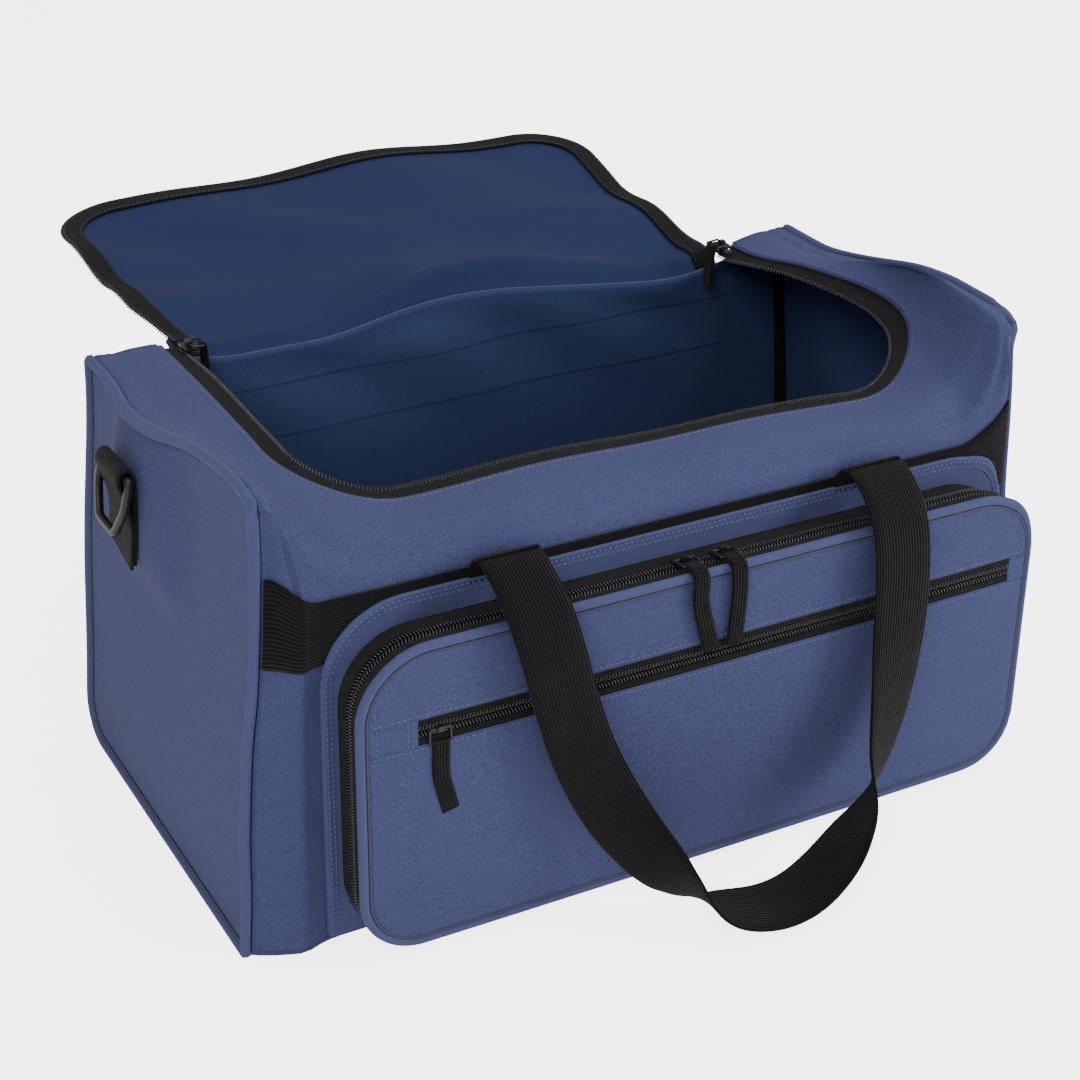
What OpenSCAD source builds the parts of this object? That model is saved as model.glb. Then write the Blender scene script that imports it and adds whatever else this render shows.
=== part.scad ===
// Flight bag: a soft-sided cabin holdall with a zip-round lid, a zip-round front
// pocket, two webbing carry handles and a ring at each end.
// Units are millimetres. +X runs along the bag, +Y to its back and +Z up.
// The origin is the middle of the bottom panel, on the floor.

/* [Body] */
// Half the length of the body, to the outside of an end panel
half_length = 268; // [180:1:350]
// Half the depth of the body
half_depth = 136; // [90:1:190]
// Height of the body
height = 258; // [180:1:340]
// How far each end panel's front edge stands in front of the middle
end_front = 114; // [70:1:170]
// Half the length of the flat front, between its rounded ends
half_flat = 238; // [160:1:330]
// Radius where the front turns over into the top
shoulder_r = 40; // [15:1:60]
// Thickness of the shell fabric with its backing
shell_t = 2.4; // [1:0.1:4]
// Thickness of the bottom panel
bottom_t = 3; // [1.5:0.1:5]
// Side of the covered cord around each end panel
piping_side = 5; // [3:0.5:8]

/* [Mouth and lid] */
// Half the width of the mouth
mouth_half = 205; // [120:1:250]
// Where the mouth's front edge stands in front of the middle
mouth_front = 84; // [20:1:100]
// Radius of the mouth's front corners
mouth_r = 60; // [20:1:100]
// Angle between the lid as it lies open and the lid closed
lid_open_deg = 170; // [90:1:180]
// How far the closed lid's fabric stands in from the mouth
lid_inset = 28; // [20:1:50]

/* [Webbing] */
// Width of the webbing
web_w = 38; // [20:1:60]
// Thickness of the webbing
web_t = 1.8; // [1:0.1:3]
// Height of the lower edge of the sewn bands
band_z = 182; // [100:1:240]
// Half the distance between a handle's two legs
leg_half = 119; // [70:1:180]
// Where the middle of the front handle stands along the bag
handle_x = 4; // [-30:1:30]

/* [Pocket] */
// Where the pocket's middle stands along the bag
pocket_x = 6; // [-30:1:30]
// Half the width of the pocket
pocket_half = 219; // [120:1:240]
// Height of the pocket's lower edge
pocket_low = 7; // [4:1:40]
// Height of the pocket's upper edge
pocket_top = 197; // [120:1:240]
// Depth of the pocket
pocket_depth = 33; // [15:1:80]
// Height of the zip across the pocket's face
face_zip_z = 146; // [60:1:180]

/* [Zips] */
// Width of one row of coil
row_w = 3.2; // [1.5:0.1:5]
// Half the gap between the two rows
row_gap = 0.6; // [0.4:0.1:1]
// Width of a slider
slider_w = 9.2; // [6:0.1:14]
// Length of a slider
slider_l = 13; // [8:0.5:20]
// Width of a webbing pull
pull_w = 10.4; // [6:0.1:16]

/* [Rings] */
// Where the end rings stand along the depth
ring_y = 25; // [-60:1:100]
// Height of a ring's bar
ring_z = 238; // [120:1:240]
// Radius of a ring's bar
bar_r = 2.2; // [1.5:0.1:4]

/* [Hidden] */
$fn = 64;

blue = [0.32, 0.36, 0.58];
navy = [0.14, 0.19, 0.34];
black = [0.07, 0.07, 0.07];
steel = [0.55, 0.55, 0.56];

gap = 0.1;
inner_length = half_length - shell_t;
back_in = half_depth - shell_t;
top_in = height - shell_t;
seam_gap = 0.05;

// The mouth's zip: its tape lies just under the shell's top sheet
tape_t = 0.8;
mouth_tape_z = 255;
mouth_zip_top = mouth_tape_z + tape_t;
row_low = -0.6;
row_high = 1.4;
zip_centre = 14;
row_out = row_gap + row_w;
lid_zip_back = 114;

// The lid turns about its fold, at the top of the back panel
fold_y = half_depth;
fold_z = height - 1;
fold_r = 1.3;

// The pocket stands on the front face
face_front = -half_depth;
pocket_front = face_front - pocket_depth;
pocket_r_top = 42;
pocket_r_low = 36;
backing_edge = 10;
backing_top = 214;
backing_t = 3.9;
gusset_back = face_front - gap - backing_t - gap;
zip_y = -154.5;
zip_end_z = pocket_low + 20;
pipe_out = 2;
pipe_in = 3;
pipe_back = pocket_front + 4;
pipe_front = pocket_front - 2;
face_t = 2.2;
face_back = pocket_front + face_t + 0.2;
slot_half = 8;
face_tape_y = face_back + 0.1;
face_zip_left = -180;
face_zip_right = 208;

// The handles turn at the top of the webbing that stands up from the band
front_turn = [-149, 228];
back_turn = [144, 229];
bead_r = 1.3;
anchor_low = 196;
anchor_back = half_depth + gap + web_t + gap;

// Rest places of the sliders
pocket_slider_xl = -7;
pocket_slider_xr = 18;
face_slider_x = -167;
mouth_slider_y = 124;
mouth_zip_x = mouth_half - zip_centre;
crown_z = 4.4;
wire_r = 0.7;
wire_gap = 0.08;

// ---------------------------------------------------------------- body

module plan(t) {
    polygon([
        [-half_length + t, -end_front + 0.45 * t],
        [-half_flat + 0.3 * t, face_front + t],
        [half_flat - 0.3 * t, face_front + t],
        [half_length - t, -end_front + 0.45 * t],
        [half_length - t, half_depth - t],
        [-half_length + t, half_depth - t]
    ]);
}

// The body seen from its end, with y to the left and z up, inset by t
module side_profile(t) {
    r = shoulder_r - t;
    cy = face_front + shoulder_r;
    cz = height - shoulder_r;
    union() {
        translate([face_front + t, 0]) square([2 * half_depth - 2 * t, cz]);
        translate([cy, 0]) square([half_depth - t - cy, height - t]);
        translate([cy, cz]) circle(r = r);
    }
}

// Extrudes a shape drawn in Y and Z along X, from x0 to x1
module along_x(x0, x1) {
    translate([x0, 0, 0]) rotate([90, 0, 90]) linear_extrude(x1 - x0) children();
}

// Extrudes a shape drawn in X and Z along Y, from y0 down to y1
module along_y(y0, y1) {
    translate([0, y0, 0]) rotate([90, 0, 0]) linear_extrude(y0 - y1) children();
}

module wrap(t) {
    intersection() {
        linear_extrude(height) plan(t);
        along_x(-half_length, half_length) side_profile(t);
    }
}

module mouth(d) {
    w = mouth_half - d;
    f = mouth_front - d;
    r = mouth_r - d;
    union() {
        translate([-w, r - f]) square([2 * w, half_depth + 10 + f - r]);
        translate([-w + r, -f]) square([2 * w - 2 * r, half_depth + 10 + f]);
        translate([-w + r, r - f]) circle(r = r);
        translate([w - r, r - f]) circle(r = r);
    }
}

module front_panel() {
    color(blue) difference() {
        wrap(0);
        translate([0, 0, -1]) wrap(shell_t);
        translate([0, 0, -1]) linear_extrude(bottom_t + seam_gap + 1) square(2000, center = true);
        translate([0, 0, height - 8]) linear_extrude(20) mouth(0);
        wrap_ends();
        translate([-500, back_in - seam_gap, -1]) cube([1000, 50, 400]);
        translate([-inner_length + 0.2, face_front + shoulder_r, -1])
            cube([2 * inner_length - 0.4, 400, top_in + 1]);
    }
}

// What lies outside the inner length at both ends
module wrap_ends() {
    translate([inner_length - seam_gap, -300, -1]) cube([50, 600, 400]);
    translate([-inner_length + seam_gap - 50, -300, -1]) cube([50, 600, 400]);
}

module back_panel() {
    low = bottom_t + seam_gap;
    wide = inner_length - seam_gap;
    fold_top = fold_z - fold_r - 1.1;
    color(blue) along_y(half_depth, back_in) polygon([
        [-wide, low], [wide, low], [wide, height], [mouth_half + 1, height],
        [mouth_half + 1, fold_top], [-mouth_half - 1, fold_top],
        [-mouth_half - 1, height], [-wide, height]
    ]);
}

module bottom_panel() {
    color(blue) linear_extrude(bottom_t) plan(0);
}

module end_outline(d) {
    low = d;
    polygon([
        [-end_front + d, low], [half_depth - d, low], [half_depth - d, height - d],
        [face_front + shoulder_r + 4, height - d], [-end_front + d, 253 - d]
    ]);
}

module end_panel(x0) {
    color(blue) difference() {
        along_x(x0, x0 + shell_t) end_outline(0);
        translate([-500, -500, -1]) cube([1000, 1000, bottom_t + seam_gap + 1]);
    }
}

module piping(x0) {
    color(blue) along_x(x0, x0 + piping_side) difference() {
        end_outline(0);
        end_outline(piping_side);
    }
}

module seam_binding(x0) {
    color(black) along_x(x0, x0 + 11) difference() {
        end_outline(3.6);
        end_outline(5.2);
    }
}

// ---------------------------------------------------------------- mouth zip

module mouth_zip_tape() {
    color(black) translate([0, 0, mouth_tape_z]) linear_extrude(0.5) difference() {
        intersection() {
            mouth(-6);
            translate([-500, -500]) square([1000, 500 + back_in - 0.2]);
        }
        mouth(zip_centre - row_out - 0.1);
    }
}

module mouth_zip_coil() {
    color(black) translate([0, 0, mouth_zip_top + row_low]) linear_extrude(row_high - row_low)
        difference() {
            intersection() {
                mouth(zip_centre - row_out);
                translate([-500, -500]) square([1000, 500 + back_in - 2]);
            }
            mouth(zip_centre - row_gap);
        }
}

// ---------------------------------------------------------------- lid

// Takes the lid from closed, as it is drawn, to open, as it rests
module lid_rest() {
    translate([0, fold_y, fold_z]) rotate([-lid_open_deg, 0, 0])
        translate([0, -fold_y, -fold_z]) children();
}

module lid_panel() {
    color(navy) lid_rest() union() {
        translate([0, 0, mouth_zip_top + 0.1]) linear_extrude(2.2) intersection() {
            mouth(lid_inset);
            translate([-500, -500]) square([1000, 500 + fold_y]);
        }
        translate([-mouth_half + lid_inset, fold_y, fold_z]) rotate([0, 90, 0])
            cylinder(r = fold_r, h = 2 * (mouth_half - lid_inset));
    }
}

module lid_zip_tape() {
    color(black) lid_rest() translate([0, 0, mouth_tape_z]) linear_extrude(tape_t)
        intersection() {
            difference() {
                mouth(zip_centre + row_out + 0.1);
                mouth(lid_inset + 5);
            }
            translate([-500, -500]) square([1000, 500 + lid_zip_back]);
        }
}

module lid_zip_coil() {
    color(black) lid_rest() translate([0, 0, mouth_zip_top + row_low])
        linear_extrude(row_high - row_low) intersection() {
            difference() {
                mouth(zip_centre + row_gap);
                mouth(zip_centre + row_out);
            }
            translate([-500, -500]) square([1000, 500 + lid_zip_back]);
        }
}

// ---------------------------------------------------------------- webbing

module webbing_band_front() {
    color(black) translate([0, 0, band_z]) linear_extrude(web_w) difference() {
        intersection() {
            plan(-gap - web_t);
            translate([-inner_length + 0.6, -500]) square([2 * inner_length - 1.2, 420]);
        }
        plan(-gap);
    }
}

module webbing_band_back() {
    color(black) translate([-inner_length + 0.6, half_depth + gap, band_z])
        cube([2 * inner_length - 1.2, web_t, web_w]);
}

// The sewn ends of a handle, standing up from the band to where the handle turns.
// side is 1 at the back and -1 at the front.
module handle_anchors(side, turn, centre) {
    y0 = side * anchor_back;
    y1 = side * (anchor_back + web_t);
    ty = turn[0];
    tz = turn[1];
    clear = bead_r + 0.4;
    away = side * clear;
    color(black) for (s = [-1, 1])
        along_x(centre + s * leg_half - web_w / 2, centre + s * leg_half + web_w / 2)
            polygon([
                [y0, anchor_low], [y1, anchor_low], [y1, 219],
                [ty - away * 0.75 + side * 0.7, tz - clear * 0.75 - 0.8],
                [ty - away * 0.75 - side * 0.7, tz - clear * 0.75 - 0.2],
                [y0, 221.5]
            ]);
}

function unit(v) = v / norm(v);

// A strip of webbing through stations, each a centre and the direction of its width
module ribbon(stations) {
    n = len(stations);
    half_w = web_w / 2;
    half_t = web_t / 2;
    points = [for (i = [0:n - 1])
        let (
            c = stations[i][0],
            ahead = stations[min(i + 1, n - 1)][0] - stations[max(i - 1, 0)][0],
            along = unit(ahead),
            across = unit(stations[i][1] - (stations[i][1] * along) * along),
            up = cross(along, across)
        )
        each [
            c - half_w * across - half_t * up, c + half_w * across - half_t * up,
            c + half_w * across + half_t * up, c - half_w * across + half_t * up
        ]
    ];
    sides = [for (i = [0:n - 2]) for (k = [0:3])
        let (a = 4 * i + k, b = 4 * i + (k + 1) % 4)
        each [[a, a + 4, b], [b, a + 4, b + 4]]
    ];
    last = 4 * (n - 1);
    caps = [
        [0, 1, 2], [0, 2, 3],
        [last, last + 2, last + 1], [last, last + 3, last + 2]
    ];
    polyhedron(points = points, faces = concat(sides, caps));
}

front_left_x = handle_x - leg_half;
front_right_x = handle_x + leg_half;

front_stations = [
    [[front_left_x, -150.2, 228.2], [1, 0, 0]],
    [[front_left_x, -158, 226], [1, 0, 0]],
    [[front_left_x + 1, -170, 217.5], [1, 0, 0]],
    [[front_left_x + 4, -180, 203], [0.98, 0, 0.1]],
    [[front_left_x + 9, -185, 181], [0.97, 0, 0.22]],
    [[front_left_x + 16, -187, 152], [0.95, 0, 0.3]],
    [[front_left_x + 26, -189, 118], [0.94, -0.05, 0.33]],
    [[front_left_x + 41, -193, 83], [0.88, -0.2, 0.4]],
    [[front_left_x + 58, -202, 53], [0.74, -0.5, 0.35]],
    [[front_left_x + 75, -217, 31], [0.5, -0.82, 0.15]],
    [[front_left_x + 94, -230, 17], [0.2, -0.96, -0.05]],
    [[front_left_x + 117, -237, 11.5], [0, -0.99, -0.12]],
    [[front_left_x + 142, -237, 12], [-0.06, -0.99, -0.12]],
    [[front_left_x + 167, -231, 19], [-0.2, -0.96, -0.1]],
    [[front_left_x + 190, -221, 31], [-0.42, -0.88, -0.1]],
    [[front_left_x + 210, -210, 48], [-0.66, -0.72, -0.05]],
    [[front_left_x + 224, -200, 72], [-0.86, -0.48, 0]],
    [[front_right_x - 5, -193, 102], [-0.96, -0.25, 0]],
    [[front_right_x - 1, -189, 136], [-1, -0.05, 0]],
    [[front_right_x, -187, 164], [-1, 0, 0]],
    [[front_right_x, -185, 185], [-1, 0, 0]],
    [[front_right_x, -180, 203], [-1, 0, 0]],
    [[front_right_x, -170, 217.5], [-1, 0, 0]],
    [[front_right_x, -158, 226], [-1, 0, 0]],
    [[front_right_x, -150.2, 228.2], [-1, 0, 0]]
];

back_half = [
    [[-leg_half, 145.2, 229.3], [1, 0, 0]],
    [[-leg_half, 147.6, 226], [1, 0, 0]],
    [[-leg_half, 149, 218], [1, 0, 0]],
    [[-leg_half, 149.6, 190], [1, 0, 0]],
    [[-leg_half + 1, 150, 150], [1, 0, 0]],
    [[-leg_half + 5, 151, 115], [0.98, 0.05, 0.15]],
    [[-leg_half + 14, 153, 85], [0.92, 0.25, 0.28]],
    [[-leg_half + 29, 158, 60], [0.72, 0.6, 0.3]],
    [[-leg_half + 50, 165, 42], [0.4, 0.88, 0.2]],
    [[-leg_half + 76, 170, 30], [0.15, 0.97, -0.1]],
    [[-leg_half + 102, 172, 25], [0.05, 0.97, -0.2]]
];

function mirrored(stations) = [
    for (i = [len(stations) - 1:-1:0])
        let (c = stations[i][0], w = stations[i][1])
        [[-c[0], c[1], c[2]], [-w[0], w[1], w[2]]]
];

// A handle's loop of webbing, with a bead at each end that it turns on
module handle(stations, turn, centre) {
    color(black) union() {
        ribbon(stations);
        for (s = [-1, 1]) translate([centre + s * leg_half, turn[0], turn[1]])
            rotate([0, 90, 0]) cylinder(r = bead_r, h = web_w, center = true, $fn = 24);
    }
}

// ---------------------------------------------------------------- end rings

module ring_loop(side) {
    face = half_length + gap;
    bar_x = face + 5.2;
    color(black) mirror([side < 0 ? 1 : 0, 0, 0]) translate([0, ring_y + web_w / 2, 0])
        rotate([90, 0, 0]) linear_extrude(web_w) difference() {
            union() {
                polygon([
                    [face, ring_z - 57], [face + 3.8, ring_z - 57], [face + 4.2, ring_z - 33],
                    [bar_x + 4.6, ring_z - 4], [bar_x + 3, ring_z], [bar_x, ring_z + 3],
                    [face, ring_z + 3]
                ]);
                translate([bar_x, ring_z]) circle(r = 5.2);
            }
            translate([bar_x, ring_z]) circle(r = bar_r + wire_gap);
        }
}

module d_ring(side) {
    bar_x = half_length + gap + 5.2;
    color(black) mirror([side < 0 ? 1 : 0, 0, 0]) translate([bar_x, ring_y, ring_z])
        rotate([0, -13, 0]) union() {
            rotate([90, 0, 0]) cylinder(r = bar_r, h = 42, center = true);
            translate([-bar_r, 0, 0]) rotate([90, 0, 90]) linear_extrude(2 * bar_r) polygon([
                [-25, bar_r], [-25, -18], [-13, -37], [13, -37], [25, -18], [25, bar_r],
                [20, bar_r], [20, -16.6], [10.3, -32], [-10.3, -32], [-20, -16.6], [-20, bar_r]
            ]);
        }
}

// ---------------------------------------------------------------- pocket

// The pocket's outline in X and Z, inset by d
module pocket_outline(d) {
    x0 = pocket_x - pocket_half + d;
    x1 = pocket_x + pocket_half - d;
    z0 = pocket_low + d;
    z1 = pocket_top - d;
    rt = pocket_r_top - d;
    rl = pocket_r_low - d;
    union() {
        translate([x0 + rl, z0]) square([x1 - x0 - 2 * rl, z1 - z0 - 1]);
        translate([x0 + rt, z0 + rl]) square([x1 - x0 - 2 * rt, z1 - z0 - rl]);
        translate([x0, z0 + rl]) square([x1 - x0, z1 - z0 - rl - rt]);
        for (x = [x0 + rl, x1 - rl]) translate([x, z0 + rl]) circle(r = rl);
        for (x = [x0 + rt, x1 - rt]) translate([x, z1 - rt]) circle(r = rt);
    }
}

module pocket_backing() {
    x0 = pocket_x - pocket_half - backing_edge;
    x1 = pocket_x + pocket_half + backing_edge;
    r = 50;
    y0 = face_front - gap;
    color(blue) difference() {
        along_y(y0, y0 - backing_t) union() {
            translate([x0, bottom_t]) square([x1 - x0, backing_top - r - bottom_t]);
            translate([x0 + r, bottom_t]) square([x1 - x0 - 2 * r, backing_top - bottom_t]);
            for (x = [x0 + r, x1 - r]) translate([x, backing_top - r]) circle(r = r);
        }
        translate([-400, y0 - web_t - gap, band_z - gap]) cube([800, 10, web_w + 1]);
        for (s = [-1, 1])
            translate([handle_x + s * leg_half - web_w / 2 - gap, y0 - 10, anchor_low - gap])
                cube([web_w + 2 * gap, 20, 60]);
    }
}

module above_zip_end() {
    translate([-500, zip_end_z]) square([1000, 500]);
}

module pocket_wall(y0, y1, d0, d1) {
    along_y(y0, y1) intersection() {
        difference() {
            pocket_outline(d0);
            pocket_outline(d1);
        }
        above_zip_end();
    }
}

module pocket_rear_tape() {
    color(black) pocket_wall(gusset_back, zip_y + row_out + 0.1, 0, tape_t);
}

module pocket_front_tape() {
    color(black) pocket_wall(zip_y - row_out - 0.1, pipe_back + 0.1, 0, tape_t);
}

module pocket_zip_coil() {
    color(black) union() {
        pocket_wall(zip_y + row_out, zip_y + row_gap, -row_high, -row_low);
        pocket_wall(zip_y - row_gap, zip_y - row_out, -row_high, -row_low);
    }
}

module pocket_bottom_gusset() {
    color(blue) along_y(gusset_back, pipe_back + 0.1) difference() {
        pocket_outline(0);
        pocket_outline(1.6);
        translate([0, -seam_gap]) above_zip_end();
    }
}

module pocket_piping() {
    color(blue) along_y(pipe_back, pipe_front) difference() {
        pocket_outline(-pipe_out);
        pocket_outline(pipe_in);
    }
}

module face_part(x0, x1, z0, z1) {
    along_y(pocket_front + face_t, pocket_front) intersection() {
        pocket_outline(pipe_in + seam_gap);
        translate([x0, z0]) square([x1 - x0, z1 - z0]);
    }
}

module pocket_face_upper() {
    color(blue) face_part(-500, 500, face_zip_z + slot_half, 400);
}

module pocket_face_lower() {
    color(blue) face_part(-500, 500, -10, face_zip_z - slot_half);
}

module face_zip_end_left() {
    color(blue) face_part(-500, face_zip_left, face_zip_z - slot_half + seam_gap,
        face_zip_z + slot_half - seam_gap);
}

module face_zip_end_right() {
    color(blue) face_part(face_zip_right, 500, face_zip_z - slot_half + seam_gap,
        face_zip_z + slot_half - seam_gap);
}

module face_zip_tape() {
    wide = face_zip_right - face_zip_left + 8;
    tall = slot_half + 4 - row_out - 0.1;
    color(black) for (z = [face_zip_z + row_out + 0.1, face_zip_z - slot_half - 4])
        translate([face_zip_left - 4, face_tape_y, z]) cube([wide, tape_t, tall]);
}

module face_zip_coil() {
    wide = face_zip_right - face_zip_left - 2;
    color(black) for (z = [face_zip_z + row_gap, face_zip_z - row_out])
        translate([face_zip_left + 1, face_tape_y - row_high, z])
            cube([wide, row_high - row_low, row_w]);
}

// ---------------------------------------------------------------- sliders

// A slider on a zip that runs along X, with z = 0 on the tape and z outward
module slider() {
    color(black) difference() {
        union() {
            translate([-slider_l / 2, -slider_w / 2, row_high + 0.4])
                cube([slider_l, slider_w, 1.2]);
            translate([-slider_l / 2, -slider_w / 2, row_low - 1.6])
                cube([slider_l, slider_w, 1.2]);
            translate([-2.5, -row_gap + 0.3, row_low - 1]) cube([5, 2 * row_gap - 0.6, 4]);
            translate([-2, -1.7, row_high + 1.2]) cube([4, 3.4, 3.4]);
        }
        translate([0, 0, crown_z]) rotate([0, 90, 0])
            cylinder(r = wire_r + wire_gap, h = 10, center = true, $fn = 32);
    }
}

// A wire bail from the crown to (end_y, end_z), where the pull hangs from it
module bail(end_y, end_z) {
    wide = 12.6;
    rise = end_z - crown_z;
    reach = norm([end_y, rise]);
    tilt = atan2(rise, -end_y);
    color(steel) translate([0, 0, crown_z]) union() {
        rotate([0, 90, 0]) cylinder(r = wire_r, h = wide, center = true, $fn = 24);
        for (s = [-1, 1]) translate([s * wide / 2, 0, 0]) rotate([90 - tilt, 0, 0])
            cylinder(r = wire_r, h = reach, $fn = 24);
        translate([0, end_y, rise]) rotate([0, 90, 0])
            cylinder(r = wire_r, h = wide + 2 * wire_r, center = true, $fn = 24);
    }
}

// A webbing pull, from its profile in Y and Z, bored for the bail's wire
module pull(end_y, end_z, profile) {
    color(black) along_x(-pull_w / 2, pull_w / 2) difference() {
        polygon(profile);
        translate([end_y, end_z]) circle(r = wire_r + wire_gap, $fn = 24);
    }
}

top_end = [-9, 5];
top_profile = [
    [-7.2, 3.4], [-15.5, 3.6], [-18.6, 1], [-19.2, -46], [-21.6, -46],
    [-21.2, 2.4], [-16.6, 6.2], [-7.2, 6.4]
];
face_end = [-9, 4.4];
face_profile = [
    [-7.8, 3.3], [-10, 3.1], [-54, 3], [-54, 5.4], [-12, 5.9], [-7.8, 5.7]
];
mouth_end = [-7.6, 3.6];
mouth_profile = [
    [-5.8, 5.2], [-5.8, 2], [-7.4, 1.2], [-9, -24], [-11.4, -24], [-10, 3.4], [-8.4, 5.2]
];

module at_pocket(x) {
    translate([x, zip_y, pocket_top]) children();
}

module at_face() {
    translate([face_slider_x, face_tape_y, face_zip_z]) rotate([90, 0, 0]) children();
}

module at_mouth(side) {
    translate([side * mouth_zip_x, mouth_slider_y, mouth_zip_top])
        rotate([0, 0, -90 * side]) children();
}

front_panel();
back_panel();
bottom_panel();
end_panel(-half_length);  // end_panel_left
end_panel(inner_length);  // end_panel_right
piping(-half_length - piping_side);  // piping_left
piping(half_length);  // piping_right
seam_binding(-inner_length + 0.1);  // seam_binding_left
seam_binding(inner_length - 11.1);  // seam_binding_right
webbing_band_front();
webbing_band_back();
handle_anchors(-1, front_turn, handle_x);  // front_handle_anchors
handle_anchors(1, back_turn, 0);  // back_handle_anchors
handle(front_stations, front_turn, handle_x);  // front_handle
handle(concat(back_half, mirrored(back_half)), back_turn, 0);  // back_handle
ring_loop(-1);  // ring_loop_left
ring_loop(1);  // ring_loop_right
d_ring(-1);  // d_ring_left
d_ring(1);  // d_ring_right
mouth_zip_tape();
mouth_zip_coil();
lid_panel();
lid_zip_tape();
lid_zip_coil();
pocket_backing();
pocket_rear_tape();
pocket_front_tape();
pocket_zip_coil();
pocket_bottom_gusset();
pocket_piping();
pocket_face_upper();
pocket_face_lower();
face_zip_end_left();
face_zip_end_right();
face_zip_tape();
face_zip_coil();
at_pocket(pocket_slider_xl) slider();  // pocket_slider_left
at_pocket(pocket_slider_xl) bail(top_end[0], top_end[1]);  // pocket_bail_left
at_pocket(pocket_slider_xl) pull(top_end[0], top_end[1], top_profile);  // pocket_pull_left
at_pocket(pocket_slider_xr) slider();  // pocket_slider_right
at_pocket(pocket_slider_xr) bail(top_end[0], top_end[1]);  // pocket_bail_right
at_pocket(pocket_slider_xr) pull(top_end[0], top_end[1], top_profile);  // pocket_pull_right
at_face() slider();  // face_slider
at_face() bail(face_end[0], face_end[1]);  // face_bail
at_face() pull(face_end[0], face_end[1], face_profile);  // face_pull
at_mouth(-1) slider();  // mouth_slider_left
at_mouth(-1) bail(mouth_end[0], mouth_end[1]);  // mouth_bail_left
at_mouth(-1) pull(mouth_end[0], mouth_end[1], mouth_profile);  // mouth_pull_left
at_mouth(1) slider();  // mouth_slider_right
at_mouth(1) bail(mouth_end[0], mouth_end[1]);  // mouth_bail_right
at_mouth(1) pull(mouth_end[0], mouth_end[1], mouth_profile);  // mouth_pull_right
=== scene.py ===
import math

import bpy
import numpy as np
from mathutils import Matrix

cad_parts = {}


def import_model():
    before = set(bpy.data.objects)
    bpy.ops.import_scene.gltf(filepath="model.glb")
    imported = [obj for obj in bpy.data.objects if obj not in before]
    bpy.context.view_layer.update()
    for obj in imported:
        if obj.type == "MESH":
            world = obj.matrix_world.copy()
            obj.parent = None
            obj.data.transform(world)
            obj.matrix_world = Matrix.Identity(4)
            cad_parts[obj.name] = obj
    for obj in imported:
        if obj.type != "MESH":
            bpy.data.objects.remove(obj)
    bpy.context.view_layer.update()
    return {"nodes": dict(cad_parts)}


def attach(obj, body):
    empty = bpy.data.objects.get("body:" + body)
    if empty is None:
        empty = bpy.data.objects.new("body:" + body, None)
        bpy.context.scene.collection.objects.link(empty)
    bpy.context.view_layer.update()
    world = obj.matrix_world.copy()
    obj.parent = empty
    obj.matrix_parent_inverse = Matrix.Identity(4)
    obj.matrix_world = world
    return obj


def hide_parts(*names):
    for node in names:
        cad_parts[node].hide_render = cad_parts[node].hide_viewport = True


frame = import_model()

# ------------------------------------------------------------------ camera and light
# Millimetres throughout; every mesh is scaled to metres as it is made.
MM = 0.001
CAMERA_AT = (-618.0, -1100.0, 815.0)
CAMERA_YAW = 28.76
CAMERA_PITCH = -28.24
CAMERA_ROLL = 0.84
CAMERA_LENS = 76.4
CAMERA_SENSOR = 36.0

# Lights and floor are in metres. Each light: name, place, aim, size, power.
LIGHTS = [
    ("key", (-1.5, -1.6, 2.3), (0, 0, 0.1), (1.3, 1.3), 46),
    ("top", (0.5, 0.2, 2.6), (0, 0, 0.1), (2.4, 2.0), 39),
    ("side", (1.5, -1.3, 0.9), (0.15, 0, 0.15), (0.8, 0.8), 23),
]
WORLD_STRENGTH = 0.5
FLOOR_SIZE = 14
FLOOR_Z = -0.0006
# The floor glows this much for everything, and this much more for the camera alone.
FLOOR_GLOW, FLOOR_GLOW_SEEN = 0.5, 3.2


def make_camera():
    yaw, pitch, roll = (math.radians(a) for a in (CAMERA_YAW, CAMERA_PITCH, CAMERA_ROLL))
    level = math.cos(pitch)
    ahead = np.array([math.sin(yaw) * level, math.cos(yaw) * level, math.sin(pitch)])
    right = np.array([math.cos(yaw), -math.sin(yaw), 0.0])
    up = np.cross(right, ahead)
    right, up = (math.cos(roll) * right + math.sin(roll) * up,
                 -math.sin(roll) * right + math.cos(roll) * up)
    data = bpy.data.cameras.new("camera")
    data.lens = CAMERA_LENS
    data.sensor_width = CAMERA_SENSOR
    data.sensor_fit = "HORIZONTAL"
    data.clip_end = 50.0
    camera = bpy.data.objects.new("camera", data)
    rows = [[right[i], up[i], -ahead[i], CAMERA_AT[i] * MM] for i in range(3)]
    camera.matrix_world = Matrix(rows + [[0, 0, 0, 1]])
    bpy.context.collection.objects.link(camera)
    bpy.context.scene.camera = camera


def area_light(name, at, aim, size, power):
    data = bpy.data.lights.new(name, "AREA")
    data.shape = "RECTANGLE"
    data.size, data.size_y = size
    data.energy = power
    lamp = bpy.data.objects.new(name, data)
    lamp.location = at
    back = np.array(at, float) - np.array(aim, float)
    back /= np.linalg.norm(back)
    side = np.cross([0, 0, 1], back)
    side /= np.linalg.norm(side)
    up = np.cross(back, side)
    rows = [[side[i], up[i], back[i], at[i]] for i in range(3)]
    lamp.matrix_world = Matrix(rows + [[0, 0, 0, 1]])
    bpy.context.collection.objects.link(lamp)


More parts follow.
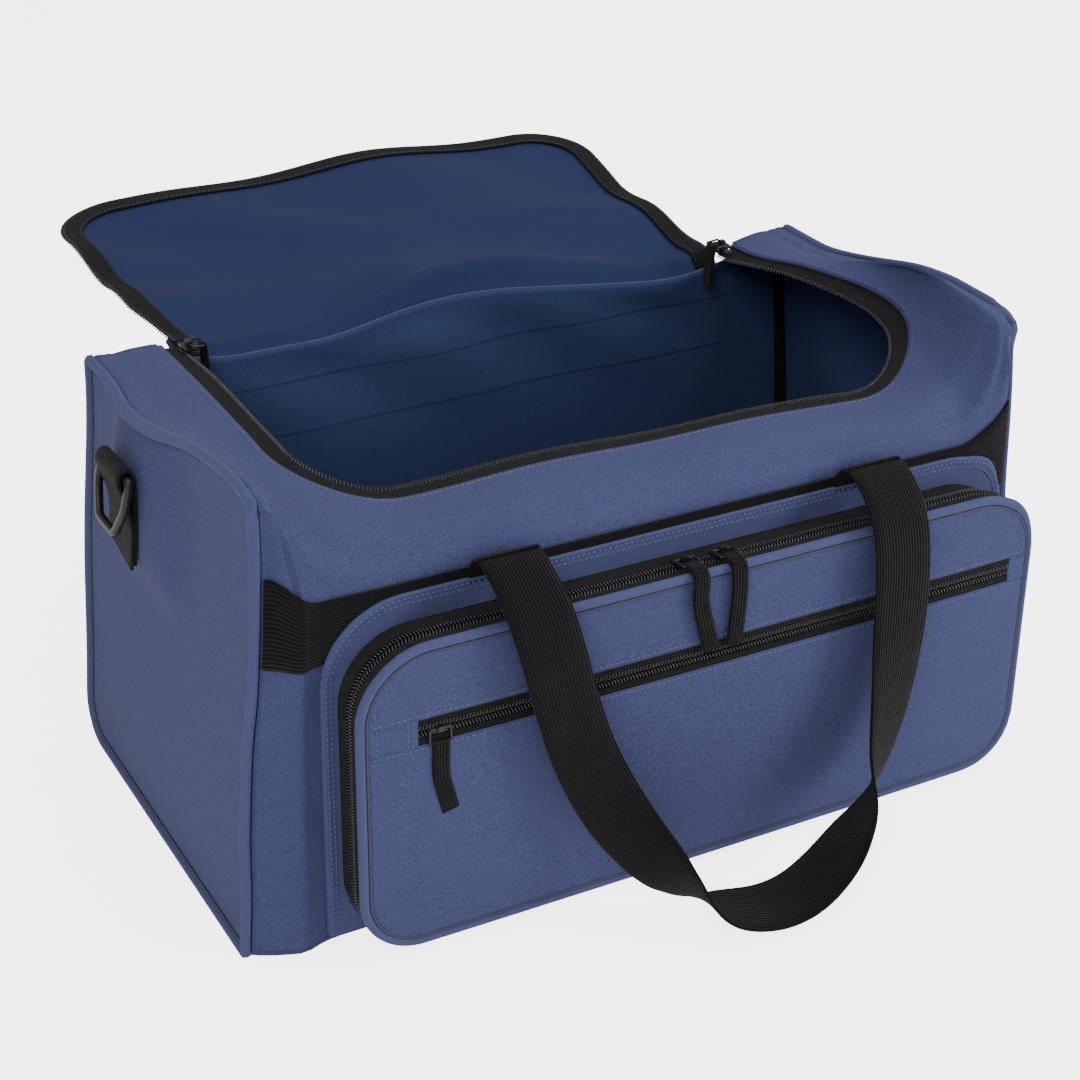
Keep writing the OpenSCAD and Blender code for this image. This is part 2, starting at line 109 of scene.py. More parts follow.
def make_studio():
    bpy.ops.mesh.primitive_plane_add(size=FLOOR_SIZE, location=(0, 0, FLOOR_Z))
    floor = bpy.context.object
    floor.name = "floor"
    white = bpy.data.materials.new("floor_white")
    white.use_nodes = True
    shader = white.node_tree.nodes["Principled BSDF"]
    shader.inputs["Base Color"].default_value = (0.92, 0.92, 0.92, 1)
    shader.inputs["Roughness"].default_value = 0.9
    shader.inputs["Specular IOR Level"].default_value = 0.1
    shader.inputs["Emission Color"].default_value = (1, 1, 1, 1)
    seen = white.node_tree.nodes.new("ShaderNodeLightPath")
    glow = white.node_tree.nodes.new("ShaderNodeMath")
    glow.operation = "MULTIPLY_ADD"
    glow.inputs[1].default_value = FLOOR_GLOW_SEEN
    glow.inputs[2].default_value = FLOOR_GLOW
    white.node_tree.links.new(seen.outputs["Is Camera Ray"], glow.inputs[0])
    white.node_tree.links.new(glow.outputs[0], shader.inputs["Emission Strength"])
    floor.data.materials.append(white)
    world = bpy.data.worlds.new("studio")
    world.use_nodes = True
    sky = world.node_tree.nodes["Background"]
    sky.inputs["Color"].default_value = (1, 1, 1, 1)
    sky.inputs["Strength"].default_value = WORLD_STRENGTH
    bpy.context.scene.world = world
    for light in LIGHTS:
        area_light(*light)


make_camera()
make_studio()

# ------------------------------------------------------------------ materials


def shader_of(name, color, rough, metal=0.0, sheen=0.0, spec=0.5):
    mat = bpy.data.materials.new(name)
    mat.use_nodes = True
    mat.diffuse_color = (*color, 1)
    shader = mat.node_tree.nodes["Principled BSDF"]
    shader.inputs["Base Color"].default_value = (*color, 1)
    shader.inputs["Roughness"].default_value = rough
    shader.inputs["Metallic"].default_value = metal
    shader.inputs["Specular IOR Level"].default_value = spec
    shader.inputs["Sheen Weight"].default_value = sheen
    shader.inputs["Sheen Roughness"].default_value = 0.5
    return mat


def add(mat, kind, **values):
    n = mat.node_tree.nodes.new(kind)
    for k, v in values.items():
        if k in n.inputs:
            n.inputs[k].default_value = v
        else:
            setattr(n, k, v)
    return n


THREADS = 1300.0
HEATHER = 9.0


def cloth(name, color, rough, sheen, mottle, bump, spec):
    """Woven cloth: fine threads in the relief and a faint heather in the colour."""
    mat = shader_of(name, color, rough, sheen=sheen, spec=spec)
    link = mat.node_tree.links.new
    shader = mat.node_tree.nodes["Principled BSDF"]
    where = add(mat, "ShaderNodeTexCoord")
    grain = add(mat, "ShaderNodeTexNoise", Scale=THREADS, Detail=1.0)
    broad = add(mat, "ShaderNodeTexNoise", Scale=HEATHER, Detail=3.0)
    link(where.outputs["Object"], grain.inputs["Vector"])
    link(where.outputs["Object"], broad.inputs["Vector"])
    ramp = add(mat, "ShaderNodeValToRGB")
    dark = tuple(c * (1 - mottle) for c in color)
    light = tuple(min(1, c * (1 + mottle)) for c in color)
    ramp.color_ramp.elements[0].position = 0.3
    ramp.color_ramp.elements[0].color = (*dark, 1)
    ramp.color_ramp.elements[1].position = 0.7
    ramp.color_ramp.elements[1].color = (*light, 1)
    mix = add(mat, "ShaderNodeMath", operation="MULTIPLY_ADD")
    mix.inputs[1].default_value = 0.9
    link(grain.outputs["Fac"], mix.inputs[0])
    part = add(mat, "ShaderNodeMath", operation="MULTIPLY")
    part.inputs[1].default_value = 0.1
    link(broad.outputs["Fac"], part.inputs[0])
    link(part.outputs[0], mix.inputs[2])
    link(mix.outputs[0], ramp.inputs["Fac"])
    link(ramp.outputs["Color"], shader.inputs["Base Color"])
    relief = add(mat, "ShaderNodeBump", Strength=bump, Distance=0.0006)
    link(grain.outputs["Fac"], relief.inputs["Height"])
    link(relief.outputs["Normal"], shader.inputs["Normal"])
    return mat


def ribbed(name, color, rough, across, along, depth, spec):
    """Webbing or tape: ribs along its length, each broken by the crossing threads."""
    mat = shader_of(name, color, rough, sheen=0.05, spec=spec)
    link = mat.node_tree.links.new
    shader = mat.node_tree.nodes["Principled BSDF"]
    where = add(mat, "ShaderNodeTexCoord")
    split = add(mat, "ShaderNodeSeparateXYZ")
    link(where.outputs["UV"], split.inputs[0])
    waves = []
    for out, pitch in (("X", across), ("Y", along)):
        scale = add(mat, "ShaderNodeMath", operation="MULTIPLY")
        scale.inputs[1].default_value = 2 * math.pi / pitch
        link(split.outputs[out], scale.inputs[0])
        sine = add(mat, "ShaderNodeMath", operation="SINE")
        link(scale.outputs[0], sine.inputs[0])
        waves.append(sine)
    both = add(mat, "ShaderNodeMath", operation="MULTIPLY")
    link(waves[0].outputs[0], both.inputs[0])
    link(waves[1].outputs[0], both.inputs[1])
    total = add(mat, "ShaderNodeMath", operation="MULTIPLY_ADD")
    total.inputs[1].default_value = 0.5
    link(both.outputs[0], total.inputs[0])
    link(waves[0].outputs[0], total.inputs[2])
    relief = add(mat, "ShaderNodeBump", Strength=1.0, Distance=depth)
    link(total.outputs[0], relief.inputs["Height"])
    link(relief.outputs["Normal"], shader.inputs["Normal"])
    # The colour follows the rib relief: painted shade between the ribs and painted highlight on their
    # tops.
    shade = add(mat, "ShaderNodeMapRange")
    shade.inputs["From Min"].default_value = -1.2
    shade.inputs["From Max"].default_value = 1.2
    shade.inputs["To Min"].default_value = 0.35
    shade.inputs["To Max"].default_value = 1.5
    link(total.outputs[0], shade.inputs["Value"])
    tint = add(mat, "ShaderNodeVectorMath", operation="SCALE")
    tint.inputs[0].default_value = color
    link(shade.outputs[0], tint.inputs["Scale"])
    link(tint.outputs[0], shader.inputs["Base Color"])
    return mat


BLUE = cloth("blue_twill", (0.046, 0.053, 0.128), 0.92, 0.03, 0.3, 0.6, 0.12)
BLUE_EDGE = cloth("blue_piping", (0.054, 0.062, 0.145), 0.9, 0.04, 0.12, 0.3, 0.12)
THREAD = shader_of("blue_thread", (0.09, 0.105, 0.22), 0.7)
THREAD_DARK = shader_of("dark_thread", (0.03, 0.035, 0.06), 0.7)
NAVY = cloth("navy_lining", (0.0098, 0.0182, 0.063), 0.7, 0.02, 0.16, 0.2, 0.15)
# The lining inside the walls is a lighter copy of the lid's navy lining, painted lighter to stand in
# for the light that reaches inside the bag.
LINING_PAINTED_LIT = cloth("navy_inside_painted_lit", (0.026, 0.041, 0.105), 0.75, 0.02, 0.16, 0.2, 0.12)
WEB = ribbed("black_webbing", (0.0045, 0.0045, 0.005), 0.75, 0.0019, 0.0022, 0.0003, 0.08)
TAPE = ribbed("black_tape", (0.005, 0.005, 0.0055), 0.8, 0.0016, 0.0011, 0.0003, 0.08)
BIND = ribbed("black_binding", (0.004, 0.004, 0.0045), 0.85, 0.0012, 0.0012, 0.0002, 0.08)
COIL = shader_of("black_coil", (0.02, 0.02, 0.021), 0.28, spec=0.5)
ENAMEL = shader_of("slider_metal", (0.008, 0.008, 0.009), 0.35, spec=0.4)
STEEL = shader_of("wire_steel", (0.012, 0.012, 0.013), 0.4, spec=0.4)
PLASTIC = shader_of("ring_plastic", (0.008, 0.008, 0.009), 0.42, spec=0.4)

# ------------------------------------------------------------------ shape of the body
HALF_L, HALF_D, HIGH = 268.0, 136.0, 258.0
END_FRONT, HALF_FLAT = 114.0, 238.0
# the radius of the front shoulder, and where its centre is
SHOULDER, SHOULDER_Y, SHOULDER_Z = 40.0, -96.0, 218.0
# the walls stand on the base panel, between the end panels
WALL_X, WALL_LOW, TOP_REAR = 265.5, 3.1, 133.5
BACK_TOP_AT_MOUTH = 249.5
SHELL, BASE_THICK = 2.4, 2.9
# the end panels slope down from here to their front corners
SLOPE_Y, CORNER_Z = -92.0, 253.0
MOUTH_HALF, MOUTH_FRONT, MOUTH_R = 205.0, 84.0, 60.0
ZIP_IN = 14.0
BAND_LOW, WEB_W, WEB_T, HANDLE_T = 182.0, 38.0, 1.8, 2.1
POCKET_X, POCKET_HALF, POCKET_LOW, POCKET_TOP = 6.0, 219.0, 7.0, 197.0
POCKET_R_TOP, POCKET_R_LOW = 42.0, 36.0
POCKET_BACK, POCKET_FRONT, POCKET_ZIP_Y = -140.2, -169.0, -154.5
POCKET_RIM_Y, CORD_Y, CORD_SEAM_Y = -165.4, -167.6, -168.9
ZIP_END_Z = 27.0
# half the pocket zip's gap between its tapes, and how far each row of teeth is from its middle
ZIP_GAP, ROW_OUT = 3.9, 2.2
# the pocket's backing: its edge beyond the pocket, its top, and how its folded edge steps in
BACKING_EDGE, BACKING_TOP, BACKING_Y = 10.0, 214.0, -140.1
BACKING_FOLD = [(1.0, -136.3), (1.0, -139.2), (0.994, -140.0), (0.985, -140.1),
                (0.97, -139.6), (0.955, -140.0), (0.5, -140.0), (0.02, -140.0)]
FACE_ZIP_Z, FACE_L, FACE_R, FACE_TAPE_Y = 146.0, -180.0, 208.0, -166.5
FACE_GAP, FACE_INSET = 8.0, 3.05
RING_Y, RING_Z, RING_X = 25.0, 238.0, 273.3
FOLD_Y, FOLD_Z = 136.0, 257.0

# How far the cloth goes from its pattern: the front corners up, the rim down and forward,
# the ends in, the mouth's right side out, the rim there down, and the pocket out.
LIFT, SAG, RIM_FORWARD, LEAN = 28.0, 15.0, 5.0, 17.0
PULL_OUT, RIM_TURN, POCKET_SPREAD, PADDING = 29.0, 4.0, 8.0, 3.0
BASE_ROUND = 26.0
# the folds at the front corners fan out from here
FAN_FROM = 262.0
# the lid: how far it slides to the left, dips at the fold and rises beyond it
LID_SLIDE, LID_DIP, LID_CREST, LID_SLOPE = 13.0, 9.0, 8.5, 0.115
LID_INSET = 25.0


def smooth(t):
    t = np.clip(t, 0, 1)
    return t * t * (3 - 2 * t)


def after(t, start, run):
    """0 up to the start, then rising smoothly to 1 over the run."""
    return smooth((t - start) / run)


def before(t, end, run):
    """1 until the run begins, then falling smoothly to 0 at the end."""
    return smooth((end - t) / run)


def hump(t, middle, width):
    """1 at the middle, dying away on both sides over about the width."""
    return np.exp(-((t - middle) / width) ** 2)


# heights of the fold behind the mouth at places along it
FOLD_X = [-228, -205, -191, -178, -160, -140, -92, -56, -17, 30, 70, 120, 160, 186, 205, 228]
FOLD_DZ = [0, 0, -1, -8, -9, -8, -9, -1, 5, 3, -3, -10, -15, -12, -5, 0]


def fold_rise(x):
    """How far the fold behind the mouth stands above or below its pattern."""
    taps = ((-20, 0.15), (-10, 0.22), (0, 0.26), (10, 0.22), (20, 0.15))
    return sum(w * np.interp(np.asarray(x, float) + t, FOLD_X, FOLD_DZ) for t, w in taps)


def front_y(x):
    """The front wall's place at x; it runs back a little at both ends."""
    run = np.clip((np.abs(x) - HALF_FLAT) / (HALF_L - HALF_FLAT), 0, 1)
    return -HALF_D + (HALF_D - END_FRONT) * run


def round_base_edge(y, z):
    """Rounds the bottom edge along the back."""
    edge = HALF_D + 1 - BASE_ROUND
    a = np.clip((y - edge) / BASE_ROUND, 0, None)
    b = np.clip((BASE_ROUND - z) / BASE_ROUND, 0, None)
    both = (a > 0) & (b > 0)
    k = np.where(both, np.maximum(a, b) / np.maximum(np.hypot(a, b), 1e-9), 1.0)
    y = np.where(both, edge + a * k * BASE_ROUND, y)
    z = np.where(both, BASE_ROUND - b * k * BASE_ROUND, z)
    return y, z


def soft(P):
    """Moves points from the sewn pattern to where the bag sags, leans and folds."""
    P = np.array(P, float)
    x = P[:, 0]
    y, z = round_base_edge(P[:, 1], P[:, 2])
    wide = np.abs(x)
    left = x < 0
    off_pocket = after(y, -139.5, 10)
    end = after(wide, 150, 118)
    tight_end = after(wide, 215, 53)
    high = after(z, 165, 93)
    rim = hump(y, -88, 60)
    # tall front corners, and a rim that sags between them
    left_corner = tight_end * before(y, 70, 180)
    right_corner = 1.2 * (after(x, 196, 48) - 0.25 * after(x, 236, 32)) * before(y, 95, 150)
    dz = LIFT * np.where(left, left_corner, right_corner) * high
    sag = SAG * (1 + 0.2 * np.clip(x / HALF_L, -1, 1))
    dz -= sag * high * rim * (1 - end) * off_pocket
    dz += fold_rise(x) * high * after(y, 70, 60)
    dy = -RIM_FORWARD * high * rim * (1 - end) * after(y, -134, 30)
    # the mouth's right side is pulled out towards the end panel
    pull_x = PULL_OUT * after(x, 90, 90) * (1 - after(x, 196, 70)) * after(z, 200, 55)
    pull_x = pull_x * hump(y, 5, 80) * before(y, 118, 50)
    # the end panels lean in at the top, and their middles belly out again
    belly = np.exp(-((y - 27) / 48) ** 4 - ((z - 208) / 47) ** 4)
    dx = -np.sign(x) * LEAN * tight_end * smooth(z / 262) * (1 - belly)
    dy += np.where(left, -14.0, 5.0) * tight_end * before(y, -40, 70)
    # the rim's right side turns down into the mouth
    near_mouth = before(mouth_distance(x, y), 8, 24)
    dz -= RIM_TURN * after(x, 120, 60) * near_mouth * high * before(y, 110, 40)
    # small folds
    dx += np.sign(x) * tight_end * np.sin(z / 31 + y / 47) * smooth(z / 60) * (1 - belly)
    fold = np.sin(x / 23.0 + 2.2 * np.sin(y / 40.0)) * 0.9 + np.sin(x / 57.0 + y / 19.0) * 1.1
    dz += fold * high * off_pocket * before(wide, 225, 60) * before(y, 60, 60)
    dy += 0.7 * np.sin(z / 23.0 + x / 90.0) * tight_end * before(y, -60, 50) * before(z, 250, 60)
    # fans of folds from the tall corners, and slanted ones near the ends of the front
    reach = np.hypot(wide - FAN_FROM, z - FAN_FROM)
    angle = np.arctan2(FAN_FROM - z, FAN_FROM - wide)
    fan = np.sin(angle * 15 + np.sin(reach / 30)) * hump(reach, 45, 42)
    dy -= 1.5 * fan * before(y, -60, 40) * off_pocket
    dz += 1.1 * fan * after(z, 215, 30) * off_pocket
    slanted = np.sin((x + 1.7 * z) / 19.0) * after(wide, 225, 15)
    dy -= 0.5 * slanted * before(y, -90, 20) * before(z, 180, 40)
    # the front of the pocket reaches a little further to the right
    dx += POCKET_SPREAD * after(x, 90, 120) * before(y, -142, 16)
    # slack cloth on the back wall
    slack = after(y, 126, 8) * before(z, 246, 25) * after(z, 20, 60) * before(wide, 225, 60)
    ripple = 2.6 * np.sin(x / 19.0 + z / 24.0) * after(z, 150, 70)
    dy -= slack * (ripple + 2.2 * np.sin(x / 47.0 - z / 60.0))
    # the pocket's face is lightly padded
    u = np.clip(1 - ((x - POCKET_X) / POCKET_HALF) ** 2, 0, 1)
    v = np.clip(1 - ((z - 95) / 100) ** 2, 0, 1)
    dy -= PADDING * np.sqrt(u * v + 1e-6) * before(y, -163, 3)
    return np.stack([x + dx + pull_x, y + dy, z + dz], 1)


# ------------------------------------------------------------------ mesh helpers


def piece(name, P, F, mats, body="bag", replaces=(), give=True, uv=None, solid=0.0):
    """Makes one visible piece from points in mm, hangs it on its body and hides the frame's parts that
    it replaces.
    give lets the cloth sag. solid is its thickness, inwards if positive."""
    P = np.asarray(P, float)
    if give:
        P = soft(P)
    mesh = bpy.data.meshes.new(name)
    mesh.from_pydata((P * MM).tolist(), [], [list(map(int, f)) for f in F])
    if uv is not None:
        layer = mesh.uv_layers.new(name="UVMap")
        spots = np.zeros(len(mesh.loops), int)
        mesh.loops.foreach_get("vertex_index", spots)
        layer.data.foreach_set("uv", (np.asarray(uv)[spots] * MM).ravel().astype(float))
    for m in mats if isinstance(mats, (list, tuple)) else [mats]:
        mesh.materials.append(m)
    mesh.update()
    mesh.polygons.foreach_set("use_smooth", [True] * len(mesh.polygons))
    thing = bpy.data.objects.new(name, mesh)
    bpy.context.collection.objects.link(thing)
    if solid:
        thick = thing.modifiers.new("thickness", "SOLIDIFY")
        thick.thickness = abs(solid) * MM
        thick.offset = -1 if solid > 0 else 1
        if isinstance(mats, (list, tuple)) and len(mats) > 1:
            thick.material_offset = 1
    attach(thing, body)
    if replaces:
        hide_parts(*replaces)
    return thing


def quads(n, m, wrap_n=False, wrap_m=False):
    """Faces of an n by m grid of points stored row by row."""
    F = []
    for i in range(n if wrap_n else n - 1):
        for j in range(m if wrap_m else m - 1):
            a, b = i * m + j, i * m + (j + 1) % m
            c, d = ((i + 1) % n) * m + (j + 1) % m, ((i + 1) % n) * m + j
            F.append([a, b, c, d])
    return F


def resample(path, step, closed=False):
    path = np.asarray(path, float)
    if closed:
        path = np.vstack([path, path[:1]])
    run = np.concatenate([[0], np.cumsum(np.linalg.norm(np.diff(path, axis=0), axis=1))])
    n = max(2, int(round(run[-1] / step)) + 1)
    at = np.linspace(0, run[-1], n)
    out = np.stack([np.interp(at, run, path[:, k]) for k in range(path.shape[1])], 1)
    return out[:-1] if closed else out


def spline(points, step):
    """A smooth line through the points."""
    Q = np.asarray(points, float)
    Q = np.vstack([2 * Q[0] - Q[1], Q, 2 * Q[-1] - Q[-2]])
    out = []
    for i in range(1, len(Q) - 2):
        n = max(2, int(np.linalg.norm(Q[i + 1, :3] - Q[i, :3]) / step))
        for t in np.linspace(0, 1, n, endpoint=False):
            p0, p1, p2, p3 = Q[i - 1], Q[i], Q[i + 1], Q[i + 2]
            out.append(0.5 * (2 * p1 + (p2 - p0) * t + (2 * p0 - 5 * p1 + 4 * p2 - p3) * t * t
                              + (3 * p1 - p0 - 3 * p2 + p3) * t ** 3))
    out.append(Q[-2])
    return np.array(out)


def directions(path, closed=False):
    if closed:
        d = np.roll(path, -1, 0) - np.roll(path, 1, 0)
    else:
        d = np.gradient(path, axis=0)
    return d / np.maximum(np.linalg.norm(d, axis=1, keepdims=True), 1e-9)


def sweep(path, across, section, closed=False, cap=True):
    """Sweeps a closed section, (across, up) pairs, along the path.
    across is one vector, or one for each point."""
    path = np.asarray(path, float)
    along = directions(path, closed)
    across = np.broadcast_to(np.asarray(across, float), path.shape)
    across = across - (across * along).sum(1, keepdims=True) * along
    across = across / np.linalg.norm(across, axis=1, keepdims=True)
    up = np.cross(along, across)
    k = len(section)
    a, b = np.array(section, float).T
    P = (path[:, None, :] + across[:, None, :] * a[None, :, None]
         + up[:, None, :] * b[None, :, None]).reshape(-1, 3)
    F = quads(len(path), k, wrap_n=closed, wrap_m=True)
    if cap and not closed:
        F += [list(range(k)), list(range((len(path) - 1) * k, len(path) * k))[::-1]]
    run = np.concatenate([[0], np.cumsum(np.linalg.norm(np.diff(path, axis=0), axis=1))])
    uv = np.stack([np.tile(a, len(path)), np.repeat(run, k)], 1)
    return P, F, uv


def strap_section(w, t):
    h, e = w / 2, t / 2
    c = min(e * 0.7, 0.6)
    row = np.linspace(-h + c, h - c, 7)
    top = [(s, e) for s in row]
    low = [(s, -e) for s in row[::-1]]
    return top + [(h, e - c), (h, -e + c)] + low + [(-h, -e + c), (-h, e - c)]


def round_section(r, n=10):
    turns = np.linspace(0, 2 * math.pi, n, endpoint=False)
    return [(r * math.cos(a), r * math.sin(a)) for a in turns]


def join(parts):
    """Joins (points, faces, uv) lists into one."""
    P, F, U, n = [], [], [], 0
    for q in parts:
        P.append(q[0])
        F += [[i + n for i in f] for f in q[1]]
        U.append(q[2])
        n += len(q[0])
    return np.vstack(P), F, np.vstack(U)


def dashes(path, side, lift=0.35, pitch=3.4, long=2.3, r=0.42, closed=False):
    """A row of raised stitches along the path; side is the direction away from the cloth."""
    path = resample(path, pitch, closed)
    along = directions(path, closed)
    side = np.broadcast_to(np.asarray(side, float), path.shape)
    side = side / np.linalg.norm(side, axis=1, keepdims=True)
    out = np.cross(along, side)
    parts = []
    for p, a, s, o in zip(path, along, side, out):
        P = []
        for t, k in ((-0.5, 0.35), (-0.28, 1.0), (0.28, 1.0), (0.5, 0.35)):
            for c, d in ((-1, -0.4), (0, 1), (1, -0.4)):
                P.append(p + a * t * long + o * c * r * k + s * (lift * 0.4 + d * r * k))
        F = quads(4, 3, wrap_m=True) + [[0, 1, 2], [11, 10, 9]]
        parts.append((np.array(P), F, np.zeros((12, 2))))
    return join(parts)


TOOTH = [(-0.5, 0.0), (-0.36, 0.75), (-0.1, 1.0), (0.2, 0.95), (0.42, 0.6), (0.5, 0.0)]
TOOTH_SLANT = 0.7
TOOTH_PITCH, TOOTH_R = 2.0, 0.5


def coil_row(path, out, width, rise=1.0, flip=1):
    """A row of slanted turns along the path. out points away from the tape, and the row's
    width lies across the path."""
    path = np.asarray(path, float)
    both = resample(np.hstack([path, np.broadcast_to(out, path.shape)]), TOOTH_PITCH)
    path, out = both[:, :3], both[:, 3:]
    out = out / np.linalg.norm(out, axis=1, keepdims=True)
    along = directions(path)
    across = np.cross(along, out) * flip
    parts = []
    sec = round_section(TOOTH_R, 5)
    for p, a, o, c in zip(path, along, out, across):
        lean = a * TOOTH_SLANT * TOOTH_PITCH
        centre = np.array([p + c * w * width + lean * w + o * (h * rise) for w, h in TOOTH])
        P, F, U = sweep(centre, a, sec, cap=False)
        parts.append((P, F, U * 0))
    return join(parts)


# ------------------------------------------------------------------ outer shell


def mouth_distance(x, y):
    """How far a point is outside the mouth; less than 0 inside it."""
    w, f, r = MOUTH_HALF, MOUTH_FRONT, MOUTH_R
    qx, qy = np.abs(x) - (w - r), -y - (f - r)
    return np.where((qx > 0) & (qy > 0), np.hypot(qx, qy) - r, np.maximum(np.abs(x) - w, -y - f))


def mouth_path(inset, rear, step=3.0):
    """The mouth's outline from the left rear round the front to the right rear."""
    w, f, r = MOUTH_HALF - inset, MOUTH_FRONT - inset, MOUTH_R - inset
    pts = [(-w, rear), (-w, r - f)]
    turns = np.linspace(0, math.pi / 2, 24)
    pts += [(-w + r - r * math.cos(a), r - f - r * math.sin(a)) for a in turns[1:]]
    pts += [(w - r + r * math.sin(a), r - f - r * math.cos(a)) for a in turns]
    pts += [(w, rear)]
    return resample(pts, step)


def shell_front():
    xs = np.linspace(-WALL_X, WALL_X, 172)
    up = np.linspace(0, 1, 74)
    turn = np.linspace(0, 1, 24)[1:]
    back = np.linspace(0, 1, 80)[1:]
    rows = []
    for x in xs:
        fy = float(front_y(x))
        start = math.pi / 2
        if fy < SHOULDER_Y:
            start = math.acos(min(1.0, (SHOULDER_Y - fy) / SHOULDER))
        top = SHOULDER_Z + SHOULDER * math.sin(start)
        col = [(x, fy, WALL_LOW + (top - WALL_LOW) * t) for t in up]
        for t in turn:
            a = start + (math.pi / 2 - start) * t
            col.append((x, SHOULDER_Y - SHOULDER * math.cos(a), SHOULDER_Z + SHOULDER * math.sin(a)))
        col += [(x, SHOULDER_Y + (TOP_REAR - SHOULDER_Y) * t, HIGH) for t in back]
        rows.append(col)
    P = np.array(rows)
    n, m = P.shape[:2]
    P = P.reshape(-1, 3)
    F = np.array(quads(n, m))
    dist = np.where(P[:, 2] > HIGH - 9, mouth_distance(P[:, 0], P[:, 1]), 99.0)
    centre = dist[F].mean(1)
    keep, gone = F[centre > 0], F[centre <= 0]
    # points along the cut are moved onto the mouth's outline
    edge = np.intersect1d(np.unique(keep), np.unique(gone))
    ex, ey = P[edge, 0], P[edge, 1]
    e = 0.5
    gx = (mouth_distance(ex + e, ey) - mouth_distance(ex - e, ey)) / (2 * e)
    gy = (mouth_distance(ex, ey + e) - mouth_distance(ex, ey - e)) / (2 * e)
    P[edge, 0] -= dist[edge] * gx
    P[edge, 1] -= dist[edge] * gy
    used = np.unique(keep)
    index = -np.ones(len(P), int)
    index[used] = np.arange(len(used))
    piece("shell_front", P[used], index[keep][:, ::-1], [BLUE, LINING_PAINTED_LIT],
          replaces=["front_panel"], solid=SHELL)


def shell_back():
    xs = np.linspace(-WALL_X, WALL_X, 120)
    us = np.linspace(0, 1, 60)
    P = []
    for x in xs:
        top = BACK_TOP_AT_MOUTH if abs(x) < MOUTH_HALF + 1 else HIGH
        P += [(x, HALF_D, WALL_LOW + (top - WALL_LOW) * u) for u in us]
    piece("shell_back", P, quads(len(xs), len(us)), [BLUE, LINING_PAINTED_LIT],
          replaces=["back_panel"], solid=SHELL)


def inside_seams():
    """Two level rows of stitches inside the back wall."""
    xs = np.linspace(-200, 200, 160)
    stitches = []
    for z in (218.0, 182.0):
        level = z - fold_rise(xs) * after(z, 165, 93)
        path = np.stack([xs, np.full(len(xs), HALF_D - SHELL - 0.3), level], 1)
        stitches.append(dashes(path, (0, -1, 0), pitch=3.2, long=2.9, r=0.4))
    P, F, _ = join(stitches)
    piece("inside_stitches", P, F, NAVY)


BASE_SEAM = [(121, 3.2), (128, 3.6), (132.4, 8.0), (132.9, 16.0), (133.0, 25.0)]


def shell_bottom():
    xs = np.linspace(-HALF_L, HALF_L, 80)
    us = np.linspace(0, 1, 40)
    P = [(x, float(front_y(x)) * (1 - u) + HALF_D * u, 0.0) for x in xs for u in us]
    rim = [np.stack([xs, np.full(len(xs), y), np.full(len(xs), z)], 1)
           for y, z in BASE_SEAM]
    seam = np.stack(rim, 1).reshape(-1, 3)
    piece("base_seam", seam, quads(len(xs), len(rim)), BIND, solid=0.8)
    piece("shell_bottom", P, quads(len(xs), len(us)), [BLUE, LINING_PAINTED_LIT],
          replaces=["bottom_panel"], solid=BASE_THICK)


def end_top(y):
    """The end panel's height at y."""
    run = (y + END_FRONT) / (SLOPE_Y + END_FRONT)
    return np.where(y < SLOPE_Y, CORNER_Z + (HIGH - CORNER_Z) * run, HIGH)


def end_panels():
    us, vs = np.linspace(0, 1, 64), np.linspace(0, 1, 64)
    for side, name in ((-1, "left"), (1, "right")):
        P = []
        for u in us:
            y = -END_FRONT + 0.6 + (HALF_D + END_FRONT - 1.2) * u
            tall = float(end_top(y)) - 3.4
            P += [(side * HALF_L, y, WALL_LOW + tall * v) for v in vs]
        F = quads(len(us), len(vs))
        if side > 0:
            F = [f[::-1] for f in F]
        piece("end_" + name, P, F, [BLUE, LINING_PAINTED_LIT],
              replaces=["end_panel_" + name], solid=SHELL)


def end_path(side, x, inset, step=4.0):
    """The end panel's outline, drawn in by the inset."""
    d = inset
    pts = [(-END_FRONT + d, d), (HALF_D - d, d), (HALF_D - d, HIGH - d), (SLOPE_Y, HIGH - d),
           (-END_FRONT + d, CORNER_Z - d)]
    path = resample(pts, step, closed=True)
    return np.stack([np.full(len(path), side * x), path[:, 0], path[:, 1]], 1)


def end_trims():
    for side, name in ((-1, "left"), (1, "right")):
        path = end_path(side, HALF_L + 0.3, 0.6)
        tube = sweep(path, (1, 0, 0), round_section(3.1, 14), closed=True)
        piece("piping_" + name, tube[0], tube[1], BLUE_EDGE,
              replaces=["piping_" + name])
        path = end_path(side, HALF_L + 0.5, 4.3)
        seam = sweep(path, (1, 0, 0), round_section(0.7, 6), closed=True)
        piece("piping_seam_" + name, seam[0], seam[1], THREAD_DARK)
        path = end_path(side, HALF_L - 8.5, 4.4)
        bind = sweep(path, (1, 0, 0), strap_section(11, 1.5), closed=True)
        piece("binding_" + name, bind[0], bind[1], BIND,
              replaces=["seam_binding_" + name], uv=bind[2])


# ------------------------------------------------------------------ zips

COIL_W, POCKET_COIL_W = 3.0, 3.1
TAPE_THICK = 0.8


def mouth_strip(a, b, z0, z1, rear):
    """A flat strip of tape round the mouth between insets a and b."""
    A = mouth_path(a, rear)
    n = len(A)
    B = resample(mouth_path(b, rear), 1.0)
    B = B[np.linspace(0, len(B) - 1, n).round().astype(int)]
    k = 9
    P, U = [], []
    run = np.concatenate([[0], np.cumsum(np.linalg.norm(np.diff(A, axis=0), axis=1))])
    for i in range(n):
        for j in range(k):
            t = j / (k - 1)
            q = A[i] * (1 - t) + B[i] * t
            P.append((q[0], q[1], z0 * (1 - t) + z1 * t))
            U.append((t * abs(b - a), run[i]))
    return np.array(P), quads(n, k), np.array(U)


def mouth_rows(inset, z, rear, flip):
    path = mouth_path(inset, rear, 2.0)
    path = np.stack([path[:, 0], path[:, 1], np.full(len(path), z)], 1)
    return coil_row(path, (0.0, 0.0, 1.0), COIL_W, flip=flip)


